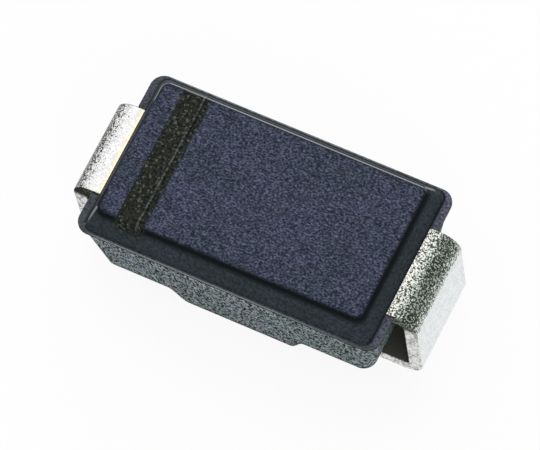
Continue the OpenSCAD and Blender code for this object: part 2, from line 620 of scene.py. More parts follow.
@dataclass(frozen=True, kw_only=True)
class MouldedFinish(GrainyFinish):
    """Moulded epoxy with the grain that one part of the mould left on it.

    The mesh marks where shade is painted in, a smooth dark colour into which the grain dies out, as
    below the edge of the top, in the crease at the foot of the upper wall and on the rim and the ledge;
    where the edge gleams with a painted highlight; and where the surface is painted lighter.

    Attributes:
        fleck: colour of single bright grains.
        fleck_amount: share of the noise range that shows as bright grains.
        gloss: specular level.
        drawn: share of the scale along each axis, below 1 where the grain is drawn out.
        curve: power that the grain is raised to for its colour, above 1 where few peaks stand out.
        painted_shade: colour of the painted shade.
        painted_highlight: colour of the painted highlight on a gleaming edge.
        highlight_coat_rough: roughness of the clear coat laid along the painted highlight.
        highlight_coat_index: index of refraction of that coat.
        lightened: colour of the rim's painted highlight, and of the lower wall lighter towards the rim.
        lightening_grain: grain at which the lightening is least and at which it is full.
        lightening_least: share of the lightening that reaches into the pits of the grain.
    """

    fleck: Colour
    fleck_amount: float
    gloss: float
    drawn: Triple = (1.0, 1.0, 1.0)
    curve: float = 1.0
    painted_shade: Colour = (0.004, 0.006, 0.008)
    painted_highlight: Colour = (0.03, 0.04, 0.075)
    highlight_coat_rough: float = 0.12
    highlight_coat_index: float = 2.3
    lightened: Colour = (0.42, 0.46, 0.46)
    lightening_grain: Span = (0.35, 1.0)
    lightening_least: float = 0.0

    def material(
        self, grain: bpy.types.NodeTree, mark: BandMark | None = None
    ) -> bpy.types.Material:
        """Builds the material.

        Args:
            grain: the shared grain effect.
            mark: the cathode band, where the surface carries it.

        Returns:
            The material.
        """
        graph = MaterialGraph(self.name, grain)
        fine = graph.fine(self.grain, self.contrast, self.fleck_amount, self.drawn)
        painted_shade, gleam, lightening = (graph.attribute(title) for title in (PAINTED_SHADE, GLEAM, LIGHTENING))
        peaks = graph.math("POWER", fine["Grain"], self.curve)
        colour = graph.mix(peaks, self.dark, self.light)
        colour = graph.mix(fine["Flecks"], colour, self.fleck)
        cloud = fine["Clouds"]
        tint = {0: cloud, 1: graph.math("SQRT", cloud), 2: cloud}
        clouds = graph.node("ShaderNodeCombineXYZ", tint).outputs[0]
        colour = graph.mix(1.0, colour, clouds, "MULTIPLY")
        # Painted shade: dark colour where shade falls, at edges, in creases and under the rim.
        colour = graph.mix(painted_shade, colour, self.painted_shade)
        # Painted highlight: a bluish colour along the gleaming lines, where the clear coat also lies.
        colour = graph.mix(gleam, colour, self.painted_highlight)
        # Painted lightening: a painted highlight along the rim, and the lower wall lighter towards the
        # rim.
        peak_share = graph.ramp(fine["Grain"], *self.lightening_grain, self.lightening_least)
        colour = graph.mix(graph.times(lightening, peak_share), colour, self.lightened)
        if mark:
            colour = mark.over(graph, colour)
        height = graph.times(fine["Grain"], graph.minus(1.0, painted_shade))
        return graph.shade({
            "Base Color": colour,
            "Roughness": graph.ramp(fine["Grain"], 0.0, 1.0, *self.rough),
            "Normal": graph.bump(height, self.depth),
            "Specular IOR Level": self.gloss,
            "Coat Weight": gleam,
            "Coat Roughness": self.highlight_coat_rough,
            "Coat IOR": self.highlight_coat_index,
        })


@dataclass(frozen=True, kw_only=True)
class TinFinish(GrainyFinish):
    """Matte tin plating on a stamped strip, mottled where the strip is bent, with a painted dark
    reflection on the shoulder and painted shade on the side that faces the case.

    Attributes:
        pit: colour of its pits and stains.
        warm: colour next to the moulding.
        strained_and_shaded: what the colour is multiplied by on the shoulder, strain and painted shade.
        shoulder_cut: colour of the sheared edges at the shoulder.
        leg_cut: colour of the sheared edges at the leg.
        dull: colour of the painted shade on the side that faces the case.
        pits: share of pits on leg and flat, and what the strained, shaded bend and sheared edges add.
        warm_reach: distances from the middle at which the warm tint is full and has faded, in metres.
        strain_and_shade_start: distances from the middle where the strain and shade set in, in metres.
        torn: roughness that the sheared edges at the shoulder add.
        blotch: blotches to the metre, dark grain on the faces and stains on the sheared edges.
        blotch_detail: number of finer layers in the blotches.
        blotch_twist: how far the blotches bend their own coordinates.
        face_blotch: noise at which a blotch on a face sets in and at which it is full.
        stain_blotch: noise at which a stain on a sheared edge sets in and at which it is full.
        stain_most: how dark a full stain is.
        heights: height at which the leg ends and at which the shoulder starts, in metres.
        edge: half widths between which the sheared edge sets in, in metres.
    """

    pit: Colour
    warm: Colour
    strained_and_shaded: Colour
    shoulder_cut: Colour
    leg_cut: Colour = (0.75, 0.76, 0.74)
    dull: Colour
    pits: tuple[float, float, float, float]
    warm_reach: Span
    strain_and_shade_start: Span
    grain: float = 46000.0
    contrast: float = 2.2
    rough: Span = (0.42, 0.28)
    torn: float = 0.5
    blotch: float = 14000.0
    blotch_detail: float = 2.0
    blotch_twist: float = 1.2
    face_blotch: Span = (0.42, 0.62)
    stain_blotch: Span = (0.46, 0.6)
    stain_most: float = 0.7
    heights: Span = (1.3 * MM, 1.45 * MM)
    edge: Span = (0.664 * MM, 0.676 * MM)

    def material(self, grain: bpy.types.NodeTree) -> bpy.types.Material:
        """Builds the material.

        Args:
            grain: the shared grain effect.

        Returns:
            The material.
        """
        graph = MaterialGraph(self.name, grain)
        along, across, height = graph.axes()
        strain_and_shade, inner = graph.attribute(STRAIN_AND_SHADE), graph.attribute(INNER)
        side = graph.ramp(graph.math("ABSOLUTE", across), *self.edge)
        upper = graph.ramp(height, *self.heights)
        leg_pits, flat_pits, bend_pits, side_pits = self.pits
        amount = graph.ramp(height, *self.heights, leg_pits, flat_pits)
        # The strained bend, dark with a painted reflection, gets more pits.
        amount = graph.add(amount, graph.times(strain_and_shade, bend_pits))
        amount = graph.add(amount, graph.times(side, side_pits))
        fine = graph.fine(self.grain, self.contrast, amount)
        blotch = graph.noise(graph.place, self.blotch, self.blotch_detail, self.blotch_twist)
        colour = graph.mix(fine["Grain"], self.dark, self.light)
        colour = graph.mix(graph.ramp(blotch, *self.face_blotch), colour, self.dark)
        warmth = graph.ramp(graph.math("ABSOLUTE", along), *self.warm_reach, 1.0, 0.0)
        colour = graph.mix(graph.times(warmth, upper), colour, self.warm)
        colour = graph.mix(side, colour, graph.mix(upper, self.leg_cut, self.shoulder_cut))
        colour = graph.mix(fine["Flecks"], colour, self.pit)
        stain = graph.ramp(blotch, *self.stain_blotch, 0.0, self.stain_most)
        colour = graph.mix(graph.times(side, stain), colour, self.pit)
        # Strain mottling and painted dark reflection: the colour is multiplied darker over the shoulder.
        colour = graph.mix(strain_and_shade, colour, self.strained_and_shaded, "MULTIPLY")
        # Painted shade: the side that faces the case is painted near black and made not metallic.
        colour = graph.mix(inner, colour, self.dull)
        rough = graph.ramp(fine["Grain"], 0.0, 1.0, *self.rough)
        torn = graph.times(graph.times(side, upper), self.torn)
        return graph.shade({
            "Base Color": colour,
            "Roughness": graph.add(rough, torn),
            "Normal": graph.bump(fine["Grain"], self.depth),
            "Metallic": graph.minus(1.0, inner),
        })


@dataclass(frozen=True, kw_only=True)
class SealedFinish(GrainyFinish):
    """A finish for a piece that the moulding hides: grainy metal or lapped silicon.

    Attributes:
        metallic: 1 for metal and 0 otherwise.
    """

    contrast: float = 1.3
    metallic: float

    def material(self, grain: bpy.types.NodeTree) -> bpy.types.Material:
        """Builds the material.

        Args:
            grain: the shared grain effect.

        Returns:
            The material.
        """
        graph = MaterialGraph(self.name, grain)
        fine = graph.fine(self.grain, self.contrast)
        return graph.shade({
            "Base Color": graph.mix(fine["Grain"], self.dark, self.light),
            "Roughness": graph.ramp(fine["Grain"], 0.0, 1.0, *self.rough),
            "Normal": graph.bump(fine["Grain"], self.depth),
            "Metallic": self.metallic,
        })


# The case


class Zone(Enum):
    """Parts of the case that the mould finished differently."""

    TOP = 0
    WALL = 1
    LEDGE = 2
    LOWER = 3


MOULDED = {
    Zone.TOP: MouldedFinish(
        name="moulding_top",
        dark=(0.008, 0.011, 0.026),
        light=(0.121, 0.142, 0.21),
        fleck=(0.13, 0.14, 0.17),
        fleck_amount=0.2,
        grain=45000.0,
        contrast=1.5,
        depth=0.003 * MM,
        rough=(0.75, 0.6),
        gloss=0.15,
        drawn=(0.7, 1.1, 1.0),
        curve=2.0,
    ),
    Zone.WALL: MouldedFinish(
        name="moulding_wall",
        dark=(0.0145, 0.0195, 0.024),
        light=(0.039, 0.05, 0.061),
        fleck=(0.04, 0.045, 0.05),
        fleck_amount=0.2,
        grain=26000.0,
        contrast=1.6,
        depth=0.0008 * MM,
        rough=(0.7, 0.6),
        gloss=0.08,
    ),
    Zone.LEDGE: MouldedFinish(
        name="moulding_ledge",
        dark=(0.036, 0.038, 0.06),
        light=(0.132, 0.139, 0.2),
        fleck=(0.2, 0.21, 0.22),
        fleck_amount=0.33,
        grain=28000.0,
        contrast=2.4,
        depth=0.003 * MM,
        rough=(0.7, 0.5),
        gloss=0.2,
        # painted shade colour of the rim and the ledge
        painted_shade=(0.03, 0.04, 0.03),
        # painted highlight colour along the rim
        lightened=(0.24, 0.27, 0.27),
        lightening_least=0.75,
    ),
    Zone.LOWER: MouldedFinish(
        name="moulding_lower",
        dark=(0.003, 0.006, 0.007),
        light=(0.235, 0.293, 0.308),
        fleck=(0.36, 0.4, 0.4),
        fleck_amount=0.36,
        grain=34000.0,
        contrast=3.0,
        depth=0.004 * MM,
        rough=(0.95, 0.5),
        gloss=0.12,
        drawn=(1.0, 1.0, 0.55),
    ),
}


@dataclass
class CaseShell:
    """The moulded case: a drafted lower half, a flat ledge and a smaller upper half with the band.

    Heights are above the board and lengths from the middle of the part, all in metres. The sizes
    that the frame shows come from it, and the other large ones repeat the CAD sizes.
    """

    half_length: float
    half_width: float
    underside: float
    top: float
    parting: float
    lead_half_width: float

    # rim, ledge and upper half
    rim_band: float = 0.05 * MM
    rim_overhang: float = 0.04 * MM
    rim_radius: float = 0.2 * MM
    end_ledge: float = 0.12 * MM
    side_ledge: float = 0.04 * MM
    upper_end_inset: float = 0.15 * MM
    upper_side_inset: float = 0.17 * MM
    upper_radius: float = 0.12 * MM
    top_round: float = 0.09 * MM

    # lower half and its stepped underside
    lower_side_inset: float = 0.17 * MM
    lower_end_inset: float = 0.28 * MM
    lower_radius: float = 0.19 * MM
    hollow_height: float = 0.51 * MM
    pad_half_length: float = 0.76 * MM
    pad_ramp: float = 0.26 * MM

    # cathode band
    band_offset: float = 0.31 * MM
    band_main: float = 0.29 * MM
    band_line: float = 0.03 * MM
    band_thin: float = 0.09 * MM
    band_depth: float = 0.02 * MM
    band_edge: float = 0.006 * MM

    # small rounded edges, and the slot that sinks inside each lead
    lower_round: float = 0.025 * MM
    rim_round: float = 0.012 * MM
    foot_round: float = 0.012 * MM
    flat_inset: float = 0.0216 * MM
    slot_depth: float = 0.04 * MM
    slot_share: float = 0.1

    # spacing of the points round the outlines, and numbers of rows
    pitch: float = 0.026 * MM
    fine_pitch: float = 0.005 * MM
    end_pitch: float = 0.052 * MM
    band_margin: float = 0.02 * MM
    corner_steps: int = 12
    edge_rows: int = 6
    lower_rows: int = 17
    rim_rows: int = 6
    ledge_rows: int = 4
    fillet_rows: int = 4
    wall_rows: int = 12
    round_rows: int = 16
    top_rows: int = 6
    settling_rounds: int = 4

    # painted shade of the upper half, with tilts in degrees from the upright
    painted_shade_reach: float = 0.13 * MM
    painted_shade_full: float = 0.0325 * MM
    painted_shade_end: Span = (56.0, 102.0)
    lead_tilt: float = 30.0
    # painted shadow in the crease at the foot of the upper wall, more where it is sheltered
    crease_reach: float = 0.05 * MM
    crease_least: float = 0.2
    crease_sheltered: float = 0.6

    # painted highlight lines, with a clear coat, on the upper half's edges, tilts and headings in
    # degrees
    gleam_tilt: float = 46.0
    gleam_lift: float = 12.0
    gleam_width: Span = (5.0, 11.0)
    gleam_way: Span = (-0.6, 0.8)
    gleam_facing: Span = (-0.4, 0.4)
    gleam_fade: float = 0.07 * MM
    corner_lines: tuple[Span, ...] = ((-155.0, -0.2), (65.0, 0.4))
    corner_width: float = 14.0
    corner_end: Span = (40.0, 50.0)
    corner_fade: float = 0.2

    # painted shade and lightening of the lower wall, the rim and the ledge, spans as shares of a size
    edge_shade: float = 0.75
    rim_shade: float = 0.65
    rim_lightening: float = 0.75
    lightening_span: Span = (0.6, 0.95)
    end_shade: float = 0.5
    cathode_span: Span = (0.83, 0.92)
    front_shade: float = 0.75
    front_span: Span = (0.9, 0.97)
    anode_shade: float = 0.8
    anode_span: Span = (0.9, 0.98)
    lightening_loss: float = 0.75
    lightening_loss_span: Span = (0.2, 0.95)

    def __post_init__(self) -> None:
        """Works out the sizes that follow from the others."""
        self.foot_length = self.half_length - self.end_ledge
        self.foot_width = self.half_width - self.side_ledge
        self.top_length = self.foot_length - self.upper_end_inset
        self.rim_height = self.parting - self.rim_band
        start = self.band_offset - self.top_length
        thin = start + self.band_main + self.band_line
        self.lanes = ((start, start + self.band_main), (thin, thin + self.band_thin))
        self.layout = self._layout()

    def _layout(self) -> RingLayout:
        """Sets the places round the outlines: fine at the band and at both sides of each lead."""
        straight = self.top_length - self.upper_radius
        band_start = self.lanes[0][0] - self.band_margin
        band_end = self.lanes[1][1] + self.band_margin
        along = np.concatenate([
            spaced(-straight, band_start, self.pitch)[1:],
            spaced(band_start, band_end, self.fine_pitch)[1:],
            spaced(band_end, straight, self.pitch)[1:-1],
        ])
        end_straight = self.foot_width - self.upper_radius
        near, far = self.lead_half_width - self.fine_pitch, self.lead_half_width
        side = np.concatenate([[near, far], spaced(far, end_straight, self.end_pitch)[1:-1]])
        across = np.concatenate([-side[::-1], spaced(-near, near, self.end_pitch)[1:-1], side])
        return RingLayout(along / straight, across / end_straight, self.corner_steps)

    def _lane_depth(self, x: Array) -> Array:
        """Depth of the band at x: full in the two lanes and 0 elsewhere, with short slopes between."""
        rise = [
            smoothstep(low, low + self.band_edge, x) - smoothstep(high - self.band_edge, high, x)
            for low, high in self.lanes
        ]
        return self.band_depth * sum(rise)

    def _lower_sizes(self, z: Array) -> tuple[Array, Array, float]:
        """Half length, half width and corner radius of the lower walls, straight from foot to rim."""
        share = (self.rim_height - z) / (self.rim_height - self.underside)
        end_inset = self.rim_overhang + (self.lower_end_inset - self.rim_overhang) * share
        side_inset = self.rim_overhang + (self.lower_side_inset - self.rim_overhang) * share
        return self.half_length - end_inset, self.half_width - side_inset, self.lower_radius

    def _under_height(self, x: Array) -> Array:
        """Height of the underside: the middle foot, then half a cosine wave up to the hollows."""
        share = np.clip((np.abs(x) - self.pad_half_length) / self.pad_ramp, 0.0, 1.0)
        depth = self.hollow_height - self.underside
        return self.underside + depth * (1 - np.cos(math.pi * share)) / 2

    def _lower_points(self) -> Array:
        """Rows of the lower half, from its bottom face up to the rim.

        The bottom edge is a quarter circle from the underside into the wall, and the wall runs
        straight from there to the rim. The underside depends on x, which depends a little on the
        height, so a few rounds settle both.

        Returns:
            Grid of points.
        """
        base = np.full(self.layout.count, self.underside)
        for _ in range(self.settling_rounds):
            x, _y = self.layout.ring(*self._lower_sizes(base + self.lower_round))
            base = self._under_height(x)
        length, width, radius = self._lower_sizes(base + self.lower_round)
        turn = np.linspace(QUARTER, 0.0, self.edge_rows)[:, None]
        inset = self.lower_round * (1 - np.cos(turn))
        x, y = self.layout.ring(length - inset, width - inset, radius - inset)
        edge = np.stack([x, y, base + self.lower_round * (1 - np.sin(turn))], axis=-1)
        share = np.linspace(0.0, 1.0, self.lower_rows + 1)[1:, None]
        z = base + self.lower_round + (self.rim_height - base - self.lower_round) * share
        x, y = self.layout.ring(*self._lower_sizes(z))
        return np.concatenate([edge, np.stack([x, y, z], axis=-1)])

    def _ledge_points(self) -> Array:
        """Rows of the rim and the ledge: a bead with two rounded edges, then flat to the upper wall.

        At each end the rows sink inside the lead, which passes out there level with the ledge.

        Returns:
            Grid of points.
        """
        turn = np.linspace(-QUARTER, QUARTER, 2 * self.rim_rows)
        inset = self.rim_round * (1 - np.cos(turn))
        upright = (self.rim_band / 2 - self.rim_round) * np.sign(turn)
        share = np.linspace(0.0, 1.0, self.ledge_rows)[:, None]
        rim = np.array([self.half_length, self.half_width, self.rim_radius])
        foot = np.array([self.foot_length, self.foot_width, self.upper_radius]) + self.foot_round
        outer = rim - self.flat_inset
        sizes = np.concatenate([rim - inset[:, None], outer + (foot - outer) * share])
        height = np.full((len(sizes), 1), self.parting)
        height[: len(turn), 0] += upright + self.rim_round * np.sin(turn) - self.rim_band / 2
        x, y = self.layout.ring(*sizes.T[:, :, None])
        by_lead = np.abs(y) < self.lead_half_width - self.fine_pitch / 2
        floor = self.parting - self.slot_depth
        sunk = np.minimum(height, floor + self.slot_share * (height - floor))
        z = np.where(by_lead & (np.abs(x) > self.foot_length), sunk, height)
        return np.stack([x, y, z], axis=-1)

    def _upper_points(self) -> tuple[Array, Array, Array]:
        """Rows of the upper half: a small fillet, the leaning wall, and the round to the top face.

        Wall and round follow the CAD outline, with the band cut down into the round where it runs
        over the edge. The insets are kept in two columns, for the ends and for the sides.

        Returns:
            Grid of points, and for each row its rise above the ledge and its tilt in degrees.
        """
        full_rise = self.top - self.parting
        insets = np.array([self.upper_end_inset, self.upper_side_inset])
        slope = insets / full_rise
        lean = np.arctan(slope)
        bend = np.linspace(lean.mean(), QUARTER, self.round_rows)
        setback = self.top_round * np.tan(math.pi / 4 - lean / 2)
        round_inset = insets + setback - self.top_round * np.cos(bend)[:, None]
        round_rise = full_rise - self.top_round * (1 - np.sin(bend))
        turn = np.linspace(0.0, QUARTER, self.fillet_rows + 1)[1:]
        fillet_rise = self.foot_round * (1 - np.cos(turn))
        fillet_inset = slope * fillet_rise[:, None] - self.foot_round * (1 - np.sin(turn))[:, None]
        wall_rise = np.linspace(fillet_rise[-1], round_rise[0], self.wall_rows + 2)[1:-1]
        wall_inset = round_inset[0] * (wall_rise / round_rise[0])[:, None]
        inset = np.concatenate([fillet_inset, wall_inset, round_inset])
        rise = np.concatenate([fillet_rise, wall_rise, round_rise])
        radius = self.upper_radius + self.upper_side_inset - round_inset[:, 1]
        radius = np.interp(rise, [0.0, *round_rise], [self.upper_radius, *radius])
        x, y = self.layout.ring(
            self.foot_length - inset[:, :1], self.foot_width - inset[:, 1:], radius[:, None]
        )
        z = np.minimum(self.parting + rise[:, None], self.top - self._lane_depth(x))
        tilt = np.concatenate([np.zeros(len(rise) - len(bend)), np.degrees(bend)])
        return np.stack([x, y, z], axis=-1), rise[:, None], tilt[:, None]

    def _upper_marks(self, y: Array, rise: Array, tilt: Array) -> tuple[Array, Array]:
        """Painted shade and painted highlight of the upper half.

        The painted shade darkens towards the edge of the top and dies out over its round, sooner over
        the cathode lead, and it lies as painted shadow in the crease at the foot, less on the front. A
        line of painted highlight, with a clear coat, runs round the edges that face the rear and the
        cathode end as far as the lead, and down two corners.

        Args:
            y: place of the points across the part.
            rise: rise of each row above the ledge.
            tilt: tilt of each row from the upright, in degrees.

        Returns:
            For each point how dark its painted shade is and how much painted highlight it has.
        """
        way_x, way_y = self.layout.way
        at_cathode = way_x < 0
        by_lead = at_cathode & (np.abs(y) < self.lead_half_width)
        edge = self.top - self.parting
        # Painted shade below the edge of the top.
        painted_shade = smoothstep(edge - self.painted_shade_reach, edge - self.painted_shade_full, rise)
        painted_shade = painted_shade * (1 - smoothstep(*self.painted_shade_end, tilt + self.lead_tilt * by_lead))
        # Painted shadow in the crease at the foot, less on the front.
        crease = 1 - smoothstep(0.0, self.crease_reach, rise)
        sheltered = smoothstep(-1.0, 0.0, way_y)
        painted_shade = painted_shade + crease * (self.crease_least + self.crease_sheltered * sheltered)

        # Painted highlight lines round the rear and cathode-end edges and down two corners.
        line_tilt = self.gleam_tilt + self.gleam_lift * np.clip(way_y, 0.0, 1.0)
        gleam = 1 - smoothstep(*self.gleam_width, np.abs(tilt - line_tilt))
        facing = self.gleam_way[0] * way_x + self.gleam_way[1] * way_y
        gleam = gleam * smoothstep(*self.gleam_facing, facing)
        lead_side = self.lead_half_width
        past_lead = smoothstep(lead_side, lead_side + self.gleam_fade, y)
        gleam = gleam * np.where(at_cathode, past_lead, 1.0)
        heading = np.degrees(np.arctan2(way_y, way_x))
        on_wall = 1 - smoothstep(*self.corner_end, tilt)
        height = rise / rise[-self.round_rows]
        for middle, low in self.corner_lines:
            line = 1 - smoothstep(0.0, self.corner_width, np.abs(heading - middle))
            shown = on_wall * smoothstep(low, low + self.corner_fade, height)
            gleam = np.maximum(gleam, line * shown)
        return painted_shade, gleam

    def _marks(self, lower: Array, ledge: Array, painted_shade: Array, gleam: Array) -> dict[str, Array]:
        """Attributes of the whole wall, from the underside to the top.

        The lower wall has painted shade along its bottom edge, is painted lighter towards the rim, and
        has a painted shadow just under the rim. The rim has painted shadow below and a painted highlight
        above, less towards the anode end and none at the cathode end. The ledge has painted shade at the
        cathode end and along the front, and so has the rim at the anode end.

        Args:
            lower: points of the lower wall.
            ledge: points of the rim and the ledge.
            painted_shade: painted shade of the upper half.
            gleam: gleam of the upper half.

        Returns:
            The attributes by name, each with one value for each point.
        """
        share = (lower[..., 2] - self.hollow_height) / (self.rim_height - self.hollow_height)
        # The lower wall is painted lighter towards the rim.
        lightening = self.rim_lightening * smoothstep(*self.lightening_span, share)
        # Painted shade along the bottom edge, and painted shadow just under the rim.
        under = np.zeros_like(share)
        under[: self.edge_rows] = self.edge_shade
        under[-1] = self.rim_shade
        along, across = ledge[..., 0] / self.half_length, ledge[..., 1] / self.half_width
        # Painted shade on the ledge at the cathode end and along the front, painted shadow on the rim's
        # lower half, and painted shade on its upper half at the anode end.
        at_cathode = smoothstep(*self.cathode_span, -along)
        at_front = smoothstep(*self.front_span, -across)
        shade = np.maximum(self.end_shade * at_cathode, self.front_shade * at_front)
        shade[: self.rim_rows] = 1.0
        upper_rim = slice(self.rim_rows, 2 * self.rim_rows)
        shade[upper_rim] += self.anode_shade * smoothstep(*self.anode_span, along[upper_rim])
        shade[-1] = painted_shade[0]
        # Painted highlight along the rim's upper half, less towards the anode end, none at the cathode
        # end.
        lightened = (1 - at_cathode) * (1 - self.lightening_loss * smoothstep(*self.lightening_loss_span, along))
        lightened[: self.rim_rows + 1] = 0.0
        lightened[2 * self.rim_rows :] = 0.0
        return {
            PAINTED_SHADE: np.concatenate([under, shade, painted_shade]),
            GLEAM: np.concatenate([0.0 * share, 0.0 * shade, gleam]),
            LIGHTENING: np.concatenate([lightening, lightened, 0.0 * painted_shade]),
        }

    def build(self, grain: bpy.types.NodeTree) -> bpy.types.Object:
        """Builds the case as one closed mesh.

        Args:
            grain: the shared grain effect.

        Returns:
            The piece.
        """
        lower, ledge = self._lower_points(), self._ledge_points()
        upper, rise, tilt = self._upper_points()
        wall = np.concatenate([lower, ledge, upper])
        marks = self._marks(lower, ledge, *self._upper_marks(upper[..., 1], rise, tilt))
        rows = np.full((len(wall) - 1, 1), Zone.WALL.value)
        rows[: len(lower) - 1] = Zone.LOWER.value
        rows[len(lower) + self.rim_rows : len(lower) + len(ledge)] = Zone.LEDGE.value
        rows[-self.top_rows :] = Zone.TOP.value
        zones = np.repeat(rows, self.layout.count, axis=1)

        # A cap runs along the front first, so its quads wind the other way from those of the wall.
        x, y = self.layout.cap(*wall[-1, :, :2].T)
        top = np.stack([x, y, self.top - self._lane_depth(x)], axis=-1)
        x, y = self.layout.cap(*wall[0, :, :2].T)
        foot = np.stack([x, y, wall[0, : len(x), 2:] + 0.0 * x], axis=-1)
        patches = [
            Patch(wall, True, zones, False, marks),
            cap_patch(top, Zone.TOP.value, True, marks),
            cap_patch(foot, Zone.LOWER.value, False, marks),
        ]
        band = BandMark(self.lanes, self.top)
        marked = {Zone.TOP: band, Zone.WALL: band}
        finishes = [MOULDED[zone].material(grain, marked.get(zone)) for zone in Zone]
        piece = add_piece("case_shell", patches, finishes)
        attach(piece, BODY)
        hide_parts("case")
        return piece


# The leads


class End(Enum):
    """The two ends of the part, by the way they point along X."""

    CATHODE = -1
    ANODE = 1


TIN = {
    End.CATHODE: TinFinish(
        name="tin_cathode",
        dark=(0.61, 0.605, 0.62),
        light=(0.82, 0.82, 0.81),
        pit=(0.04, 0.04, 0.035),
        warm=(0.8, 0.72, 0.5),
        # darker on the shoulder, partly a painted dark reflection
        strained_and_shaded=(0.92, 0.92, 0.9),
        shoulder_cut=(0.3, 0.32, 0.19),
        # painted shade on the side that faces the case
        dull=(0.1, 0.1, 0.085),
        depth=0.002 * MM,
        pits=(0.2, 0.3, 0.32, 0.2),
        warm_reach=(2.1 * MM, 2.2 * MM),
        strain_and_shade_start=(2.21 * MM, 2.42 * MM),
    ),
    End.ANODE: TinFinish(
        name="tin_anode",
        dark=(0.74, 0.77, 0.77),
        light=(0.98, 1.0, 1.0),
        pit=(0.075, 0.085, 0.06),
        warm=(0.9, 0.89, 0.82),
        # darker on the shoulder, partly a painted dark reflection
        strained_and_shaded=(0.78, 0.84, 0.77),
        shoulder_cut=(0.55, 0.6, 0.53),
        # painted shade on the side that faces the case
        dull=(0.09, 0.09, 0.08),
        depth=0.003 * MM,
        pits=(0.3, 0.528, 0.072, -0.018),
        warm_reach=(2.12 * MM, 2.3 * MM),
        strain_and_shade_start=(2.12 * MM, 2.36 * MM),
    ),
}


@dataclass(frozen=True)
class Fold:
    """One step of a folded strip: a straight run, then a bend.

    Attributes:
        run: length of the straight run, in metres.
        turn: angle of the bend in degrees, below 0 where it goes down.
        radius: radius of the bend at the middle of the strip, in metres.
    """

    run: float
    turn: float = 0.0
    radius: float = 0.0


